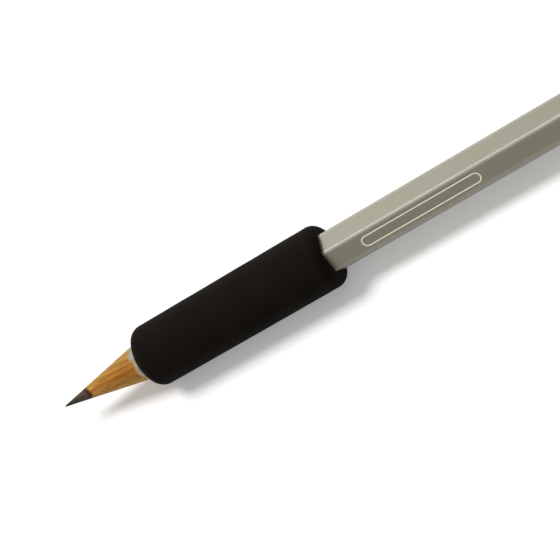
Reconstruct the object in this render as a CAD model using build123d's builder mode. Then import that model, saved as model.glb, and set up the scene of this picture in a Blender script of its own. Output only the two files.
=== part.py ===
from build123d import *
import os
from math import radians, sin, sqrt, tan

# A foam sleeve grip on a sharpened hexagonal pencil, in millimetres.
# X 0 is the writing point and +X runs back along the pencil's axis. +Z is up, with one
# flat of the hexagon facing up, one facing down, and two of its edges at +Y and -Y.

# The pencil's driving dimensions
PENCIL_LENGTH = 175.0       # writing point to rear end
ACROSS_FLATS = 7.0          # over the lacquer
EDGE_RADIUS = 0.6           # rounding of the six long edges, over the lacquer
LACQUER_THICKNESS = 0.08    # all the coats together
LEAD_DIAMETER = 2.2
POINT_ANGLE = 20.7          # full angle of the sharpened cone, in degrees
POINT_RADIUS = 0.15         # the writing point is slightly worn
DIP_LENGTH = 8.0            # the rear end's own dipped coat, along the barrel
DIP_THICKNESS = 0.3         # that coat over the sawn end
END_ROUNDING = 2.0          # turned rounding of the rear end

# The foam grip's driving dimensions
GRIP_LENGTH = 41.6
GRIP_DIAMETER = 12.0
GRIP_END_ROUNDING = 1.9     # soft rounding of both ends
GRIP_RIM_LAND = 0.1         # flat ring kept round the bore's corners
GRIP_CLEARANCE = 0.05       # bore to barrel, on each side
GRIP_SETBACK = 1.5          # lacquer left bare on each flat, ahead of the grip

# Sizes that follow from them
HALF_ANGLE = POINT_ANGLE / 2
APEX_X = POINT_RADIUS - POINT_RADIUS / sin(radians(HALF_ANGLE))
WOOD_FLATS = ACROSS_FLATS - 2 * LACQUER_THICKNESS
BORE_FLATS = ACROSS_FLATS + 2 * GRIP_CLEARANCE
CASING_LENGTH = PENCIL_LENGTH - DIP_THICKNESS
DIP_START = PENCIL_LENGTH - DIP_LENGTH


def cone_x(radius):
    """X at which the sharpened cone has this radius."""
    return APEX_X + radius / tan(radians(HALF_ANGLE))


def sharp_corner(across_flats):
    """Distance from the axis to a hexagon's corner, before it is rounded."""
    return across_flats / sqrt(3)


def rounded_corner(across_flats, edge_radius):
    """Distance from the axis to the outermost point of a rounded corner."""
    return sharp_corner(across_flats) - edge_radius * (sharp_corner(2) - 1)


def hexagon(across_flats, edge_radius):
    """A hexagon with rounded corners, two of them on the first axis of its plane."""
    with BuildSketch() as section:
        RegularPolygon(across_flats / 2, 6, major_radius=False)
        fillet(section.vertices(), edge_radius)
    return section.sketch


def turned_bar(radius, end_x):
    """What sharpening and turning leave of a round bar: worn point, cone, rounded rear end."""
    with BuildPart() as bar:
        with BuildSketch(Plane.XZ):
            with BuildLine():
                point = CenterArc((POINT_RADIUS, 0), POINT_RADIUS, 180, HALF_ANGLE - 90)
                cone = Line(point @ 1, (cone_x(radius), radius))
                Line(cone @ 1, (end_x - END_ROUNDING, radius))
                rear = CenterArc((end_x - END_ROUNDING, radius - END_ROUNDING), END_ROUNDING, 90, -90)
                Polyline(rear @ 1, (end_x, 0), point @ 0)
            make_face()
        revolve(axis=Axis.X)
    return bar.part


# Both slats, the lead between them and the coats are all cut by one and the same cone
BARREL_SECTION = hexagon(ACROSS_FLATS, EDGE_RADIUS)
WOOD_SECTION = hexagon(WOOD_FLATS, EDGE_RADIUS - LACQUER_THICKNESS)
BORE_SECTION = hexagon(BORE_FLATS, EDGE_RADIUS + GRIP_CLEARANCE)
COAT_ENVELOPE = turned_bar(sharp_corner(ACROSS_FLATS), PENCIL_LENGTH)
CASING_ENVELOPE = turned_bar(sharp_corner(WOOD_FLATS), CASING_LENGTH)

# Lead: a fired graphite rod from the point to the rear end
with BuildPart() as lead_core:
    with BuildSketch(Plane.YZ):
        Circle(LEAD_DIAMETER / 2)
    extrude(amount=CASING_LENGTH)
    add(CASING_ENVELOPE, mode=Mode.INTERSECT)

# Casing: two grooved slats glued face to face, then milled to a hexagon and sharpened
with BuildPart() as casing:
    with BuildSketch(Plane.YZ):
        add(WOOD_SECTION)
    extrude(amount=CASING_LENGTH)
    add(CASING_ENVELOPE, mode=Mode.INTERSECT)


def slat(side):
    """One half of the casing, above or below the glue line, with its groove for the lead."""
    with BuildPart() as half:
        add(casing.part)
        split(bisect_by=Plane.XY, keep=side)
        with BuildSketch(Plane.YZ):
            Circle(LEAD_DIAMETER / 2)
        extrude(amount=CASING_LENGTH, mode=Mode.SUBTRACT)
    return half.part


upper_slat = slat(Keep.TOP)
lower_slat = slat(Keep.BOTTOM)

# Lacquer: a thin hexagonal skin whose front edge is scalloped by the sharpening
with BuildPart() as lacquer_coat:
    with BuildSketch(Plane.YZ):
        add(BARREL_SECTION)
        add(WOOD_SECTION, mode=Mode.SUBTRACT)
    extrude(amount=DIP_START)
    add(COAT_ENVELOPE, mode=Mode.INTERSECT)

# Dipped end: a cup of lacquer over the rear end of the casing, flush with the coat
with BuildPart() as dipped_end:
    with BuildSketch(Plane.YZ.offset(DIP_START)):
        add(BARREL_SECTION)
    extrude(amount=DIP_LENGTH)
    add(COAT_ENVELOPE, mode=Mode.INTERSECT)
    add(casing.part, mode=Mode.SUBTRACT)

# Grip: a round foam sleeve whose bore hugs the hexagon
GRIP_START = cone_x(ACROSS_FLATS / 2) + GRIP_SETBACK
GRIP_WALL = GRIP_DIAMETER / 2 - rounded_corner(BORE_FLATS, EDGE_RADIUS + GRIP_CLEARANCE)
with BuildPart() as foam_grip:
    with BuildSketch(Plane.YZ.offset(GRIP_START)):
        Circle(GRIP_DIAMETER / 2)
    extrude(amount=GRIP_LENGTH)
    rims = foam_grip.edges().filter_by(GeomType.CIRCLE)
    fillet(rims, min(GRIP_END_ROUNDING, GRIP_WALL - GRIP_RIM_LAND))
    with BuildSketch(Plane.YZ.offset(GRIP_START)):
        add(BORE_SECTION)
    extrude(amount=GRIP_LENGTH, mode=Mode.SUBTRACT)

PIECES = {
    "lead_core": lead_core.part,
    "upper_slat": upper_slat,
    "lower_slat": lower_slat,
    "lacquer_coat": lacquer_coat.part,
    "dipped_end": dipped_end.part,
    "foam_grip": foam_grip.part,
}

os.makedirs("parts", exist_ok=True)
for name, piece in PIECES.items():
    piece.label = name
    export_step(piece, f"parts/{name}.step")
    box = piece.bounding_box()
    print(f"{name}: X {box.min.X:.2f} to {box.max.X:.2f}, {piece.volume:.1f} mm3")
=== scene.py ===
from math import atan2, cos, pi, radians, sin

import bmesh
import bpy
from mathutils import Matrix, Vector, noise


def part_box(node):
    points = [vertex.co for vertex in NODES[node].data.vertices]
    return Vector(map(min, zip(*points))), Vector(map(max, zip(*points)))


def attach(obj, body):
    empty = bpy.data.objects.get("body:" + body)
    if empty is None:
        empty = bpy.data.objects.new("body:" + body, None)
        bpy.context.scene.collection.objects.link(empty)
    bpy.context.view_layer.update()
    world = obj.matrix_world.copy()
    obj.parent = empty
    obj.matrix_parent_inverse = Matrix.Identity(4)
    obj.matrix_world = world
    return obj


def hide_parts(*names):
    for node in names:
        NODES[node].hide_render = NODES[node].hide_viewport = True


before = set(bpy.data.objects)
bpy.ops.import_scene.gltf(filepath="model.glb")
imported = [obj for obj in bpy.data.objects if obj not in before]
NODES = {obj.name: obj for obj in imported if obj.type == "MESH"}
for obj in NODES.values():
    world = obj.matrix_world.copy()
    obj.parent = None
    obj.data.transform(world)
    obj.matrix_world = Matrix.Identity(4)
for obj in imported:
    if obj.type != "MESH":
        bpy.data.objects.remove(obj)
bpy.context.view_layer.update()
MM = 0.001

# The pencil's place in the picture, from which the camera is worked out
PICTURE_SIDE = 560                  # pixels
FOCAL_LENGTH = 1800                 # pixels
SENSOR_WIDTH = 36.0                 # millimetres, Blender's own unit for it
NEAREST_SEEN = 1 * MM
POINT_PIXEL = (65.7, 406.3)         # the writing point
POINT_DEPTH = 336.3 * MM
AXIS_SLOPE = radians(30.16)         # the pencil rises to the right at this angle
AXIS_LEAN = radians(23.2)           # and its rear end leans towards the camera
TOP_FLAT_TURN = radians(36.6)       # from the side facing the camera up to the flat that faces +Z

# The grip and the pencil, as the frame gives them
GRIP_LOW, GRIP_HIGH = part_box("foam_grip")
BARREL_LOW, BARREL_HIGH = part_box("lacquer_coat")
GRIP_RADIUS = GRIP_HIGH.z
FLAT_DISTANCE = BARREL_HIGH.z       # axis to a flat of the hexagon
EDGE_DISTANCE = BARREL_HIGH.y       # axis to the crown of a rounded edge
LEAD_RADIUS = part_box("lead_core")[1].z
WOOD_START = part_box("upper_slat")[0].x
CONE_SLOPE = (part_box("upper_slat")[1].z - LEAD_RADIUS) / (BARREL_LOW.x - WOOD_START)

# The foam's shape
FOAM_ROUNDING = 1.9 * MM            # both ends, outside
FOAM_ROUNDING_STEPS = 14
FOAM_LIP = 0.25 * MM                # both ends, at the bore
FOAM_LIP_STEPS = 4
BORE_CLEARANCE = 0.05 * MM          # bore to barrel, on each side
FOAM_STEPS_ROUND = 216
FOAM_STEPS_ALONG = 110
FOAM_UNEVENNESS = 0.035 * MM        # slow swells left by grinding
FOAM_SWELL_LENGTH = 5 * MM
WELD_DISTANCE = 0.001 * MM          # closes the spin's seam

# The foam's surface
PORE_SPACING = 0.45 * MM            # real pores are 0.1 to 0.2 mm, drawn coarser so that they show
PORE_FLOOR = 0.06                   # half the width of a pore's floor, as a share of the spacing
PORE_RIMS = (0.12, 0.55)            # the same at the rim, for the smallest and the largest pore
PORE_DEPTH = 0.07 * MM
GRIT_SIZE = 0.2 * MM
DUST_PATCH = 6 * MM

# The cedar
UPPER_RING_TURN = radians(-36)      # growth rings, about the pencil's axis
LOWER_RING_TURN = radians(-75)
GRAIN_TILT = radians(1.5)           # the grain isn't quite parallel to the axis
FIBRE_STRETCH = (0.05, 1, 0.12)     # draws fibres out along the pencil, and less along the rings
DASH_STRETCH = (0.1, 1, 0.4)        # the same for short dashes
WAVE_SPACING = 0.314                # from band to band of a Wave texture of scale 1
RING_SPACING = 1.1 * MM
FIBRE_WIDTH = 0.28 * MM
FLECK_WIDTH = 0.17 * MM
BLADE_SPACING = 0.32 * MM           # marks left by the sharpener
BLADE_SHARE = 0.25                  # their height, as a share of the fibres'
CEDAR_RELIEF = 0.06 * MM
CEDAR_BUMP = 0.6
CEDAR_ROUGHNESS = 0.62
# Axis, where a shade starts and where it is full, in millimetres, and the shade: painted light, the cedar
# painted paler towards and below the glue line, on the underside, and more golden towards +Y
CEDAR_PAINTED_LIGHT = (("Z", 1.8, 0.0, "#efbd66"), ("Y", -0.6, 1.0, "#cfae5c"))

# The sharpening, a little off centre. Sides are turned from +Y towards +Z.
CUT_SIDE = radians(158)             # the blade went deeper on this side
CUT_SHIFT = 0.55 * MM               # and there it bared this much more wood
CUT_GROWS = (0.3, 1.0)              # how much a point faces that side where the deeper cut starts and is full
SCALLOP_DEPTH = (EDGE_DISTANCE - FLAT_DISTANCE) / CONE_SLOPE    # front of the lacquer, flat to edge
SMEARED_DEPTH = 0.45 * MM           # the same where the blade smeared the lacquer over the wood
SMEAR_GROWS = (-0.75, -0.2)         # how much a point faces the cut where the smear starts and is full
PRIMER_SHOWS = (0.25 * MM, 0.7 * MM)    # behind the lacquer's front, full and none
WOOD_SHOWS = (-0.5 * MM, 0.3 * MM)  # across the lacquer's front, full and none
FRONT_RAGGEDNESS = 0.3 * MM         # the fibres break the front up by this much
TONGUE_SIDE = radians(132)          # graphite is smeared further back on this side
TONGUE_REACH = 1.05 * MM            # by this much
TONGUE_TAPER = 6.0                  # how fast the tongue narrows
STAIN_BREAKS = 0.5 * MM             # the stain breaks up in dashes of this width
STAIN_RAGGEDNESS = 0.8 * MM
# Where a stain is full and where it ends, in millimetres behind the front of the wood, and its colour
GRAPHITE_STAINS = ((0.1, 0.75, "#6f4413"), (-0.2, 0.25, "#2c1803"), (-0.75, -0.45, "#554639"))
STAIN_STRENGTH = 0.95

# The lacquer
PEARL_SIZE = 0.9 * MM
PEARL_STRETCH = (0.15, 1, 1)        # drawn out along the pencil
RUBBED_WIDTH = 0.16 * MM            # crowns of the edges, measured inwards
RUBBED_PALE = 0.5
RUBBED_DULL = 0.2                   # added to the roughness
PEEL_SIZE = 1.4 * MM                # slow waves of the dried coat
PEEL_RELIEF = 0.015 * MM
COAT_ROUGHNESS = 0.3
DIP_ROUGHNESS = 0.22

# The graphite
GRAPHITE_GRAIN = 0.22 * MM
GRAPHITE_STRETCH = (0.4, 1, 1)      # drawn out along the lead
SHAVING_SPACING = 0.26 * MM
SHAVING_SHARE = 0.4                 # height of the shaving marks, as a share of the grain's
GRAPHITE_RELIEF = 0.03 * MM
POINT_RUBBED = (0.5 * MM, 4 * MM)   # behind the writing point, full and none

# The foil panel stamped on the flat that faces the camera, below the top one
FOIL_START = 68.5 * MM
FOIL_LENGTH = 24 * MM
FOIL_WIDTH = 2.1 * MM
FOIL_END_ROUNDING = 0.49 * FOIL_WIDTH
FOIL_END_STEPS = 10
FOIL_LINE = 0.2 * MM
FOIL_HEIGHT = 0.012 * MM
FOIL_FLAT = radians(60)             # turn from the top flat towards -Y
FOIL_WEAR = 0.5 * MM                # size of the worn spots
FOIL_RELIEF = 0.01 * MM

# The studio
KEY_DIRECTION = Vector((-0.36, 0.26, 0.89))
KEY_BREADTH = radians(24)
KEY_STRENGTH = 2.3
DOME_LOW = 0.1
DOME_HIGH = 0.34
BACKGROUND = 1.0                    # white, where the camera sees past the floor
FLOOR_REACH = 3.0                   # metres from its middle to each side
FLOOR_LIFT = 0.28                   # lifts what the camera sees of the floor to white


def linear(srgb_hex):
    """An sRGB hex colour as linear RGBA."""
    channels = [int(srgb_hex[i:i + 2], 16) / 255 for i in (1, 3, 5)]
    return [c / 12.92 if c <= 0.04045 else ((c + 0.055) / 1.055) ** 2.4 for c in channels] + [1.0]


def add_node(tree, kind, inputs=None, **settings):
    """Adds a node with its settings. Each input takes a value or another node's output."""
    made = tree.nodes.new(kind)
    for name, value in settings.items():
        setattr(made, name, value)
    for name, value in (inputs or {}).items():
        if isinstance(value, bpy.types.NodeSocket):
            tree.links.new(value, made.inputs[name])
        else:
            made.inputs[name].default_value = value
    return made


def new_material(name):
    """A material with an empty Principled shader, and the Object coordinates that its patterns read."""
    material = bpy.data.materials.new(name)
    material.use_nodes = True
    tree = material.node_tree
    tree.nodes.clear()
    shader = add_node(tree, "ShaderNodeBsdfPrincipled")
    add_node(tree, "ShaderNodeOutputMaterial", {"Surface": shader.outputs[0]})
    place = add_node(tree, "ShaderNodeTexCoord").outputs["Object"]
    return material, tree, shader, place


def finish_shader(tree, shader, color, normal, **constants):
    """Links the colour and the bump to the shader, and sets what is the same all over."""
    tree.links.new(color, shader.inputs["Base Color"])
    tree.links.new(normal, shader.inputs["Normal"])
    for name, value in constants.items():
        shader.inputs[name.replace("_", " ")].default_value = value


def foam_material():
    # Black closed-cell nitrile foam, ground to shape: dull, with fine open pores whose floors are painted
    # darker as painted shade, and a trace of dust in patches
    material, tree, shader, place = new_material("nitrile_foam")
    pores = add_node(tree, "ShaderNodeTexVoronoi", {"Vector": place, "Scale": 1 / PORE_SPACING})
    sizes = add_node(tree, "ShaderNodeSeparateColor", {"Color": pores.outputs["Color"]})
    rim = add_node(tree, "ShaderNodeMapRange", {
        "Value": sizes.outputs["Red"], "To Min": PORE_RIMS[0], "To Max": PORE_RIMS[1],
    })
    wall = add_node(tree, "ShaderNodeMapRange", {
        "Value": pores.outputs["Distance"], "From Min": PORE_FLOOR, "From Max": rim.outputs[0],
    }, interpolation_type="SMOOTHSTEP")
    grit = add_node(tree, "ShaderNodeTexNoise", {"Vector": place, "Scale": 1 / GRIT_SIZE, "Detail": 3.0})
    cloud = add_node(tree, "ShaderNodeTexNoise", {"Vector": place, "Scale": 1 / DUST_PATCH, "Detail": 2.0})
    # Painted shade: the floor of each pore is painted darker than the surface round it
    tone = add_node(tree, "ShaderNodeMix", {
        "Factor": wall.outputs[0], "A": linear("#0b0907"), "B": linear("#17130f"),
    }, data_type="RGBA")
    dusty = add_node(tree, "ShaderNodeMapRange", {
        "Value": cloud.outputs["Fac"], "From Min": 0.4, "From Max": 0.75, "To Max": 0.5,
    })
    tone = add_node(tree, "ShaderNodeMix", {
        "Factor": dusty.outputs[0], "A": tone.outputs["Result"], "B": linear("#1d1813"),
    }, data_type="RGBA")
    height = add_node(tree, "ShaderNodeMath", {0: wall.outputs[0], 1: grit.outputs["Fac"]}, operation="ADD")
    bump = add_node(tree, "ShaderNodeBump", {
        "Height": height.outputs[0], "Strength": 0.7, "Distance": PORE_DEPTH,
    })
    finish_shader(tree, shader, tone.outputs["Result"], bump.outputs["Normal"], Roughness=0.9,
                  Specular_IOR_Level=0.05, Sheen_Weight=0.02, Sheen_Roughness=0.5)
    return material


def facing_side(tree, place, side):
    """How far a point lies from the pencil's axis, and how much it faces a side, from -1 to 1."""
    outward = add_node(tree, "ShaderNodeVectorMath", {0: place, 1: (0, 1, 1)}, operation="MULTIPLY")
    radius = add_node(tree, "ShaderNodeVectorMath", {0: outward.outputs[0]}, operation="LENGTH")
    unit = add_node(tree, "ShaderNodeVectorMath", {0: outward.outputs[0]}, operation="NORMALIZE")
    facing = add_node(tree, "ShaderNodeVectorMath", {
        0: unit.outputs[0], 1: (0, cos(side), sin(side)),
    }, operation="DOT_PRODUCT")
    return radius.outputs["Value"], facing.outputs["Value"]


def cedar_grain(tree, place, ring_turn):
    """Cedar's colour with painted light on two sides, its fibres as a height, and the short dashes that other
    marks follow.
    """
    laid = add_node(tree, "ShaderNodeMapping", {"Vector": place, "Rotation": (ring_turn, 0, GRAIN_TILT)})
    along = add_node(tree, "ShaderNodeMapping", {"Vector": laid.outputs[0], "Scale": FIBRE_STRETCH})
    dashes = add_node(tree, "ShaderNodeMapping", {"Vector": laid.outputs[0], "Scale": DASH_STRETCH})
    growth = add_node(tree, "ShaderNodeTexWave", {
        "Vector": along.outputs[0], "Scale": WAVE_SPACING / RING_SPACING, "Distortion": 4.0, "Detail": 2.0,
        "Detail Scale": 1.0,
    }, bands_direction="Y")
    fibres = add_node(tree, "ShaderNodeTexNoise", {
        "Vector": along.outputs[0], "Scale": 1 / FIBRE_WIDTH, "Detail": 5.0, "Roughness": 0.65,
    })
    flecks = add_node(tree, "ShaderNodeTexNoise", {
        "Vector": dashes.outputs[0], "Scale": 1 / FLECK_WIDTH, "Detail": 2.0,
    })
    tone = add_node(tree, "ShaderNodeMix", {
        "Factor": growth.outputs["Fac"], "A": linear("#b97625"), "B": linear("#cb923b"),
    }, data_type="RGBA")
    split = add_node(tree, "ShaderNodeSeparateXYZ", {"Vector": place})
    # Painted light: the wood is painted paler on the underside and towards +Y
    for axis, start, full, shade in CEDAR_PAINTED_LIGHT:
        pale = add_node(tree, "ShaderNodeMapRange", {
            "Value": split.outputs[axis], "From Min": start * MM, "From Max": full * MM, "To Max": 0.8,
        })
        tone = add_node(tree, "ShaderNodeMix", {
            "Factor": pale.outputs[0], "A": tone.outputs["Result"], "B": linear(shade),
        }, data_type="RGBA")
    streak = add_node(tree, "ShaderNodeMapRange", {
        "Value": fibres.outputs["Fac"], "From Min": 0.36, "From Max": 0.62, "To Min": 0.8, "To Max": 0.0,
    })
    fleck = add_node(tree, "ShaderNodeMapRange", {
        "Value": flecks.outputs["Fac"], "From Min": 0.52, "From Max": 0.68, "To Max": 0.42,
    })
    for mark, shade in ((streak, "#ceb4a4"), (fleck, "#a28c89")):
        tone = add_node(tree, "ShaderNodeMix", {
            "Factor": mark.outputs[0], "A": tone.outputs["Result"], "B": linear(shade),
        }, data_type="RGBA", blend_type="MULTIPLY")
    return tone.outputs["Result"], fibres.outputs["Fac"], dashes.outputs[0]


def grey_lacquer(tree, place, fibres):
    """The lacquer's colour, how far the sharpening has bared the wood, and how far an edge is rubbed."""
    along = add_node(tree, "ShaderNodeMapping", {"Vector": place, "Scale": PEARL_STRETCH})
    pearl = add_node(tree, "ShaderNodeTexNoise", {
        "Vector": along.outputs[0], "Scale": 1 / PEARL_SIZE, "Detail": 4.0,
    })
    tone = add_node(tree, "ShaderNodeMix", {
        "Factor": pearl.outputs["Fac"], "A": linear("#8e8a78"), "B": linear("#999583"),
    }, data_type="RGBA")
    radius, cut = facing_side(tree, place, CUT_SIDE)
    rubbed = add_node(tree, "ShaderNodeMapRange", {
        "Value": radius, "From Min": EDGE_DISTANCE - RUBBED_WIDTH, "From Max": EDGE_DISTANCE,
    })
    pale = add_node(tree, "ShaderNodeMath", {0: rubbed.outputs[0], 1: RUBBED_PALE}, operation="MULTIPLY")
    tone = add_node(tree, "ShaderNodeMix", {
        "Factor": pale.outputs[0], "A": tone.outputs["Result"], "B": linear("#c8c6b8"),
    }, data_type="RGBA")
    # One scallop on each flat: the sine of three times the angle is 1 or -1 on its middle, 0 at its edges
    split = add_node(tree, "ShaderNodeSeparateXYZ", {"Vector": place})
    angle = add_node(tree, "ShaderNodeMath", {
        0: split.outputs["Z"], 1: split.outputs["Y"],
    }, operation="ARCTAN2")
    angle = add_node(tree, "ShaderNodeMath", {0: angle.outputs[0], 1: 3.0}, operation="MULTIPLY")
    wave = add_node(tree, "ShaderNodeMath", {0: angle.outputs[0]}, operation="SINE")
    wave = add_node(tree, "ShaderNodeMath", {0: wave.outputs[0]}, operation="ABSOLUTE")
    valley = add_node(tree, "ShaderNodeMath", {0: 1.0, 1: wave.outputs[0]}, operation="SUBTRACT")
    # The scallops are smeared shallow towards the cut, and lie further back where it is deepest
    depth = add_node(tree, "ShaderNodeMapRange", {
        "Value": cut, "From Min": SMEAR_GROWS[0], "From Max": SMEAR_GROWS[1], "To Min": SCALLOP_DEPTH,
        "To Max": SMEARED_DEPTH,
    })
    deeper = add_node(tree, "ShaderNodeMapRange", {
        "Value": cut, "From Min": CUT_GROWS[0], "From Max": CUT_GROWS[1],
    })
    front = add_node(tree, "ShaderNodeMath", {
        0: deeper.outputs[0], 1: CUT_SHIFT, 2: BARREL_LOW.x,
    }, operation="MULTIPLY_ADD")
    front = add_node(tree, "ShaderNodeMath", {
        0: valley.outputs[0], 1: depth.outputs[0], 2: front.outputs[0],
    }, operation="MULTIPLY_ADD")
    behind = add_node(tree, "ShaderNodeMath", {
        0: split.outputs["X"], 1: front.outputs[0],
    }, operation="SUBTRACT")
    primed = add_node(tree, "ShaderNodeMapRange", {
        "Value": behind.outputs[0], "From Min": PRIMER_SHOWS[0], "From Max": PRIMER_SHOWS[1],
        "To Min": deeper.outputs[0], "To Max": 0.0,
    })
    tone = add_node(tree, "ShaderNodeMix", {
        "Factor": primed.outputs[0], "A": tone.outputs["Result"], "B": linear("#dfcaa4"),
    }, data_type="RGBA")
    ragged = add_node(tree, "ShaderNodeMath", {
        0: fibres, 1: -FRONT_RAGGEDNESS, 2: behind.outputs[0],
    }, operation="MULTIPLY_ADD")
    bared = add_node(tree, "ShaderNodeMapRange", {
        "Value": ragged.outputs[0], "From Min": WOOD_SHOWS[0], "From Max": WOOD_SHOWS[1], "To Min": 1.0,
        "To Max": 0.0,
    })
    return tone.outputs["Result"], bared.outputs[0], rubbed.outputs[0]


def lacquer_material(name, roughness):
    # Silver-grey cellulose lacquer, drawn through a die in thin coats: even, a soft gloss with a slight
    # pearl, rubbed pale and dull along the edges. Its front is feathered by the sharpener's blade, with
    # cream primer where it is thin and wood where it is gone.
    material, tree, shader, place = new_material(name)
    wood, fibres = cedar_grain(tree, place, UPPER_RING_TURN)[:2]
    coat, bared, rubbed = grey_lacquer(tree, place, fibres)
    tone = add_node(tree, "ShaderNodeMix", {"Factor": bared, "A": coat, "B": wood}, data_type="RGBA")
    dull = add_node(tree, "ShaderNodeMapRange", {
        "Value": rubbed, "To Min": roughness, "To Max": roughness + RUBBED_DULL,
    })
    rough = add_node(tree, "ShaderNodeMix", {"Factor": bared, "A": dull.outputs[0], "B": CEDAR_ROUGHNESS})
    tree.links.new(rough.outputs["Result"], shader.inputs["Roughness"])
    peel = add_node(tree, "ShaderNodeTexNoise", {"Vector": place, "Scale": 1 / PEEL_SIZE, "Detail": 1.0})
    bump = add_node(tree, "ShaderNodeBump", {
        "Height": peel.outputs["Fac"], "Strength": 0.3, "Distance": PEEL_RELIEF,
    })
    finish_shader(tree, shader, tone.outputs["Result"], bump.outputs["Normal"], Metallic=0.1)
    return material


def cedar_material(name, ring_turn):
    # Incense cedar shaved to a cone: orange-brown, with growth rings and fibres along the pencil and blade
    # marks round it. Graphite is smeared over its front, where the wood feathers out on the lead, and
    # lacquer over its rear, where the cone meets the barrel.
    material, tree, shader, place = new_material(name)
    tone, fibres, dashes = cedar_grain(tree, place, ring_turn)
    # The graphite: a brown fringe, a dark ring, and ahead of it grey as the lead, with a tongue on one side
    facing = facing_side(tree, place, TONGUE_SIDE)[1]
    near = add_node(tree, "ShaderNodeMath", {0: facing, 1: 0.5, 2: 0.5}, operation="MULTIPLY_ADD")
    tongue = add_node(tree, "ShaderNodeMath", {0: near.outputs[0], 1: TONGUE_TAPER}, operation="POWER")
    x = add_node(tree, "ShaderNodeSeparateXYZ", {"Vector": place}).outputs["X"]
    reach = add_node(tree, "ShaderNodeMath", {
        0: tongue.outputs[0], 1: -TONGUE_REACH, 2: x,
    }, operation="MULTIPLY_ADD")
    ragged = add_node(tree, "ShaderNodeTexNoise", {"Vector": dashes, "Scale": 1 / STAIN_BREAKS})
    reach = add_node(tree, "ShaderNodeMath", {
        0: ragged.outputs["Fac"], 1: -STAIN_RAGGEDNESS, 2: reach.outputs[0],
    }, operation="MULTIPLY_ADD")
    for full, end, stain in GRAPHITE_STAINS:
        smear = add_node(tree, "ShaderNodeMapRange", {
            "Value": reach.outputs[0], "From Min": WOOD_START + full * MM, "From Max": WOOD_START + end * MM,
            "To Min": STAIN_STRENGTH, "To Max": 0.0,
        })
        tone = add_node(tree, "ShaderNodeMix", {
            "Factor": smear.outputs[0], "A": tone, "B": linear(stain),
        }, data_type="RGBA").outputs["Result"]
    coat, bared = grey_lacquer(tree, place, fibres)[:2]
    tone = add_node(tree, "ShaderNodeMix", {"Factor": bared, "A": coat, "B": tone}, data_type="RGBA")
    rough = add_node(tree, "ShaderNodeMix", {"Factor": bared, "A": COAT_ROUGHNESS, "B": CEDAR_ROUGHNESS})
    tree.links.new(rough.outputs["Result"], shader.inputs["Roughness"])
    blade = add_node(tree, "ShaderNodeTexWave", {
        "Vector": place, "Scale": WAVE_SPACING / BLADE_SPACING, "Distortion": 1.5,
    }, bands_direction="X")
    height = add_node(tree, "ShaderNodeMath", {
        0: blade.outputs["Fac"], 1: BLADE_SHARE, 2: fibres,
    }, operation="MULTIPLY_ADD")
    strength = add_node(tree, "ShaderNodeMath", {0: bared, 1: CEDAR_BUMP}, operation="MULTIPLY")
    bump = add_node(tree, "ShaderNodeBump", {
        "Height": height.outputs[0], "Strength": strength.outputs[0], "Distance": CEDAR_RELIEF,
    })
    finish_shader(tree, shader, tone.outputs["Result"], bump.outputs["Normal"], Specular_IOR_Level=0.15)
    return material


def graphite_material():
    # Fired graphite and clay, shaved to a cone: warm dark grey with a dull sheen and fine shaving marks,
    # rubbed blacker towards the writing point
    material, tree, shader, place = new_material("graphite_lead")
    dashes = add_node(tree, "ShaderNodeMapping", {"Vector": place, "Scale": GRAPHITE_STRETCH})
    grain = add_node(tree, "ShaderNodeTexNoise", {
        "Vector": dashes.outputs[0], "Scale": 1 / GRAPHITE_GRAIN, "Detail": 4.0,
    })
    worn = add_node(tree, "ShaderNodeMix", {
        "Factor": grain.outputs["Fac"], "A": linear("#0b0b07"), "B": linear("#221f17"),
    }, data_type="RGBA")
    shaved = add_node(tree, "ShaderNodeMix", {
        "Factor": grain.outputs["Fac"], "A": linear("#30281f"), "B": linear("#625447"),
    }, data_type="RGBA")
    x = add_node(tree, "ShaderNodeSeparateXYZ", {"Vector": place}).outputs["X"]
    unrubbed = add_node(tree, "ShaderNodeMapRange", {
        "Value": x, "From Min": POINT_RUBBED[0], "From Max": POINT_RUBBED[1],
    })
    tone = add_node(tree, "ShaderNodeMix", {
        "Factor": unrubbed.outputs[0], "A": worn.outputs["Result"], "B": shaved.outputs["Result"],
    }, data_type="RGBA")
    blade = add_node(tree, "ShaderNodeTexWave", {
        "Vector": place, "Scale": WAVE_SPACING / SHAVING_SPACING, "Distortion": 5.0, "Detail": 2.0,
    }, bands_direction="X")
    height = add_node(tree, "ShaderNodeMath", {
        0: blade.outputs["Fac"], 1: SHAVING_SHARE, 2: grain.outputs["Fac"],
    }, operation="MULTIPLY_ADD")
    bump = add_node(tree, "ShaderNodeBump", {
        "Height": height.outputs[0], "Strength": 0.5, "Distance": GRAPHITE_RELIEF,
    })
    finish_shader(tree, shader, tone.outputs["Result"], bump.outputs["Normal"], Roughness=0.5, Metallic=0.05,
                  Specular_IOR_Level=0.1)
    return material


def foil_material():
    # Hot-stamped silver foil: a thin bright metal film, pressed into the lacquer and slightly worn
    material, tree, shader, place = new_material("silver_foil")
    worn = add_node(tree, "ShaderNodeTexNoise", {"Vector": place, "Scale": 1 / FOIL_WEAR, "Detail": 3.0})
    tone = add_node(tree, "ShaderNodeMix", {
        "Factor": worn.outputs["Fac"], "A": linear("#cfc5ab"), "B": linear("#efe6cf"),
    }, data_type="RGBA")
    bump = add_node(tree, "ShaderNodeBump", {
        "Height": worn.outputs["Fac"], "Strength": 0.3, "Distance": FOIL_RELIEF,
    })
    finish_shader(tree, shader, tone.outputs["Result"], bump.outputs["Normal"], Roughness=0.28, Metallic=1.0)
    return material


def seen_background(tree):
    """1 where the camera sees the background, straight or by way of gloss or glass, and otherwise 0."""
    rays = add_node(tree, "ShaderNodeLightPath")
    seen = rays.outputs["Is Camera Ray"]
    for other in ("Is Glossy Ray", "Is Transmission Ray"):
        seen = add_node(tree, "ShaderNodeMath", {0: seen, 1: rays.outputs[other]},
                        operation="MAXIMUM").outputs[0]
    return seen


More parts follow.
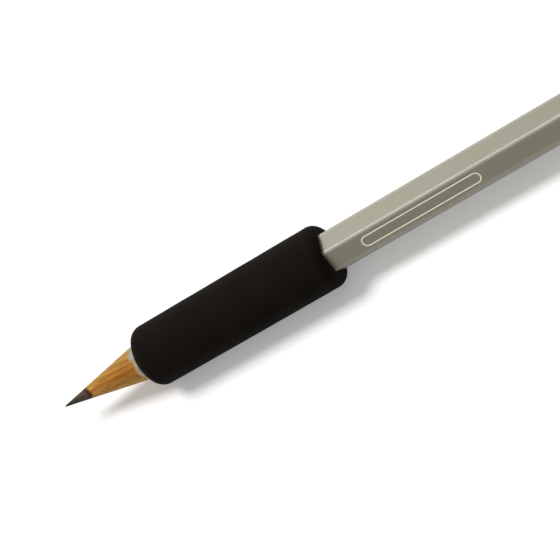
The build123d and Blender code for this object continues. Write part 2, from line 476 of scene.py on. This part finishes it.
def floor_material():
    # A pale studio floor. What the camera sees of it is lifted towards white and keeps the shadow.
    material = bpy.data.materials.new("pale_floor")
    material.use_nodes = True
    tree = material.node_tree
    tree.nodes.clear()
    seen = seen_background(tree)
    tone = add_node(tree, "ShaderNodeMix", {
        "Factor": seen, "A": linear("#d0cecb"), "B": linear("#f2f1ef"),
    }, data_type="RGBA")
    matte = add_node(tree, "ShaderNodeBsdfDiffuse", {"Color": tone.outputs["Result"]})
    lift = add_node(tree, "ShaderNodeMath", {0: seen, 1: FLOOR_LIFT}, operation="MULTIPLY")
    glow = add_node(tree, "ShaderNodeEmission", {"Strength": lift.outputs[0]})
    both = add_node(tree, "ShaderNodeAddShader", {0: matte.outputs[0], 1: glow.outputs[0]})
    add_node(tree, "ShaderNodeOutputMaterial", {"Surface": both.outputs[0]})
    return material


def add_piece(name, bm, material):
    """Turns a bmesh into an object at the origin, smooth, with one material."""
    mesh = bpy.data.meshes.new(name)
    bm.to_mesh(mesh)
    bm.free()
    mesh.shade_smooth()
    mesh.materials.append(material)
    piece = bpy.data.objects.new(name, mesh)
    bpy.context.scene.collection.objects.link(piece)
    return piece


def bore_radius(angle):
    """The bore's outline, a rounded hexagon, as a distance from the axis at this angle from +Y."""
    from_flat = (angle - pi / 2 + pi / 6) % (pi / 3) - pi / 6
    return min(FLAT_DISTANCE / cos(from_flat), EDGE_DISTANCE) + BORE_CLEARANCE


def foam_sleeve():
    """The foam grip: a section with soft corners, spun round the axis and drawn to the hexagon inside."""
    bm = bmesh.new()
    bore = FLAT_DISTANCE + BORE_CLEARANCE
    section = [bm.verts.new((x, 0, z)) for x, z in (
        (GRIP_LOW.x, bore), (GRIP_HIGH.x, bore), (GRIP_HIGH.x, GRIP_RADIUS), (GRIP_LOW.x, GRIP_RADIUS))]
    bm.faces.new(section)
    bmesh.ops.bevel(bm, geom=section[2:], offset=FOAM_ROUNDING, offset_type="OFFSET",
                    segments=FOAM_ROUNDING_STEPS, profile=0.5, affect="VERTICES", material=-1)
    lips = [v for v in bm.verts if v.co.z < bore + FOAM_LIP]
    bmesh.ops.bevel(bm, geom=lips, offset=FOAM_LIP, offset_type="OFFSET", segments=FOAM_LIP_STEPS,
                    profile=0.5, affect="VERTICES", material=-1)
    bmesh.ops.delete(bm, geom=bm.faces[:], context="FACES_ONLY")
    long_edges = [e for e in bm.edges if e.calc_length() > GRIP_RADIUS]
    bmesh.ops.subdivide_edges(bm, edges=long_edges, cuts=FOAM_STEPS_ALONG)
    bmesh.ops.spin(bm, geom=bm.verts[:] + bm.edges[:], cent=(0, 0, 0), axis=(1, 0, 0), dvec=(0, 0, 0),
                   angle=2 * pi, steps=FOAM_STEPS_ROUND, use_merge=True)
    bmesh.ops.remove_doubles(bm, verts=bm.verts, dist=WELD_DISTANCE)
    bmesh.ops.recalc_face_normals(bm, faces=bm.faces)
    # The inner wall grows out to the hexagon, and the outside sinks and swells slightly
    wall = GRIP_RADIUS - bore
    for v in bm.verts:
        radius = Vector((v.co.y, v.co.z)).length
        outside = (radius - bore) / wall
        swell = noise.noise(v.co / FOAM_SWELL_LENGTH) * FOAM_UNEVENNESS * outside
        drawn = (1 - outside) ** 2 * (bore_radius(atan2(v.co.z, v.co.y)) - bore)
        grown = (radius + drawn + swell - FOAM_UNEVENNESS * outside) / radius
        v.co.y *= grown
        v.co.z *= grown
    sleeve = add_piece("foam_sleeve", bm, foam_material())
    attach(sleeve, "grip")
    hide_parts("foam_grip")


def foil_panel():
    """An empty name panel in foil: a long outline with round ends, on the flat below the top one."""
    bm = bmesh.new()
    bmesh.ops.create_grid(bm, x_segments=1, y_segments=1, size=0.5)
    bmesh.ops.scale(bm, verts=bm.verts, vec=(FOIL_LENGTH, FOIL_WIDTH, 1))
    bmesh.ops.bevel(bm, geom=bm.verts[:], offset=FOIL_END_ROUNDING, offset_type="OFFSET",
                    segments=FOIL_END_STEPS, profile=0.5, affect="VERTICES", material=-1)
    bmesh.ops.inset_region(bm, faces=bm.faces[:], thickness=FOIL_LINE, use_boundary=True,
                           use_even_offset=True)
    middle = max(bm.faces, key=lambda f: f.calc_area())
    bmesh.ops.delete(bm, geom=[middle], context="FACES_ONLY")
    bmesh.ops.solidify(bm, geom=bm.faces[:], thickness=FOIL_HEIGHT)
    bmesh.ops.recalc_face_normals(bm, faces=bm.faces)
    lift = Matrix.Translation((FOIL_START + FOIL_LENGTH / 2, 0, FLAT_DISTANCE + FOIL_HEIGHT / 2))
    bmesh.ops.transform(bm, matrix=Matrix.Rotation(FOIL_FLAT, 4, "X") @ lift, verts=bm.verts)
    panel = add_piece("foil_panel", bm, foil_material())
    panel.data.shade_flat()
    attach(panel, "pencil")


def dress_nodes():
    """Gives each CAD node that shows its own material."""
    finishes = {
        "lacquer_coat": lacquer_material("grey_lacquer", COAT_ROUGHNESS),
        "dipped_end": lacquer_material("dipped_grey_lacquer", DIP_ROUGHNESS),
        "upper_slat": cedar_material("upper_cedar", UPPER_RING_TURN),
        "lower_slat": cedar_material("lower_cedar", LOWER_RING_TURN),
        "lead_core": graphite_material(),
    }
    for name, material in finishes.items():
        NODES[name].data.materials.clear()
        NODES[name].data.materials.append(material)


def lay_floor():
    """A pale floor under the grip."""
    bm = bmesh.new()
    bmesh.ops.create_grid(bm, x_segments=1, y_segments=1, size=FLOOR_REACH)
    bmesh.ops.translate(bm, verts=bm.verts, vec=(0, 0, GRIP_LOW.z))
    add_piece("floor", bm, floor_material())


def light_studio():
    """A broad key light from above the point, and a dome that is brighter overhead than at the horizon."""
    key = bpy.data.objects.new("key", bpy.data.lights.new("key", "SUN"))
    key.data.energy = KEY_STRENGTH
    key.data.angle = KEY_BREADTH
    key.rotation_mode = "QUATERNION"
    key.rotation_quaternion = KEY_DIRECTION.to_track_quat("Z", "Y")
    bpy.context.scene.collection.objects.link(key)
    world = bpy.data.worlds.new("studio")
    bpy.context.scene.world = world
    world.use_nodes = True
    tree = world.node_tree
    tree.nodes.clear()
    way = add_node(tree, "ShaderNodeTexCoord").outputs["Generated"]
    height = add_node(tree, "ShaderNodeSeparateXYZ", {"Vector": way}).outputs["Z"]
    dome = add_node(tree, "ShaderNodeMapRange", {"Value": height, "To Min": DOME_LOW, "To Max": DOME_HIGH})
    strength = add_node(tree, "ShaderNodeMix", {
        "Factor": seen_background(tree), "A": dome.outputs[0], "B": BACKGROUND,
    })
    sky = add_node(tree, "ShaderNodeBackground", {"Color": (1, 1, 1, 1), "Strength": strength.outputs[0]})
    add_node(tree, "ShaderNodeOutputWorld", {"Surface": sky.outputs[0]})


def place_camera():
    """Puts the camera where it sees the pencil as the picture shows it."""
    axis = Vector((cos(AXIS_LEAN) * cos(AXIS_SLOPE), -cos(AXIS_LEAN) * sin(AXIS_SLOPE), -sin(AXIS_LEAN)))
    towards = Vector((0, 0, -1))
    facing = (towards - axis * towards.dot(axis)).normalized()
    upward = facing.cross(axis)
    side = cos(TOP_FLAT_TURN) * upward - sin(TOP_FLAT_TURN) * facing
    top = sin(TOP_FLAT_TURN) * upward + cos(TOP_FLAT_TURN) * facing
    # Columns are the part's X, Y and Z as the camera sees them: right, down and away
    seen = Matrix((axis, side, top)).transposed()
    offset = [(pixel - PICTURE_SIDE / 2) / FOCAL_LENGTH for pixel in POINT_PIXEL]
    point = Vector((offset[0], offset[1], 1)) * POINT_DEPTH
    camera = bpy.data.objects.new("camera", bpy.data.cameras.new("camera"))
    camera.data.sensor_width = SENSOR_WIDTH
    camera.data.lens = FOCAL_LENGTH / PICTURE_SIDE * SENSOR_WIDTH
    camera.data.clip_start = NEAREST_SEEN
    right_up_back = Matrix.Diagonal((1, -1, -1))
    turned = seen.transposed() @ right_up_back
    camera.matrix_world = Matrix.Translation(-(seen.transposed() @ point)) @ turned.to_4x4()
    bpy.context.scene.collection.objects.link(camera)
    bpy.context.scene.camera = camera


foam_sleeve()
foil_panel()
dress_nodes()
lay_floor()
light_studio()
place_camera()
bpy.context.scene.view_settings.view_transform = "Standard"
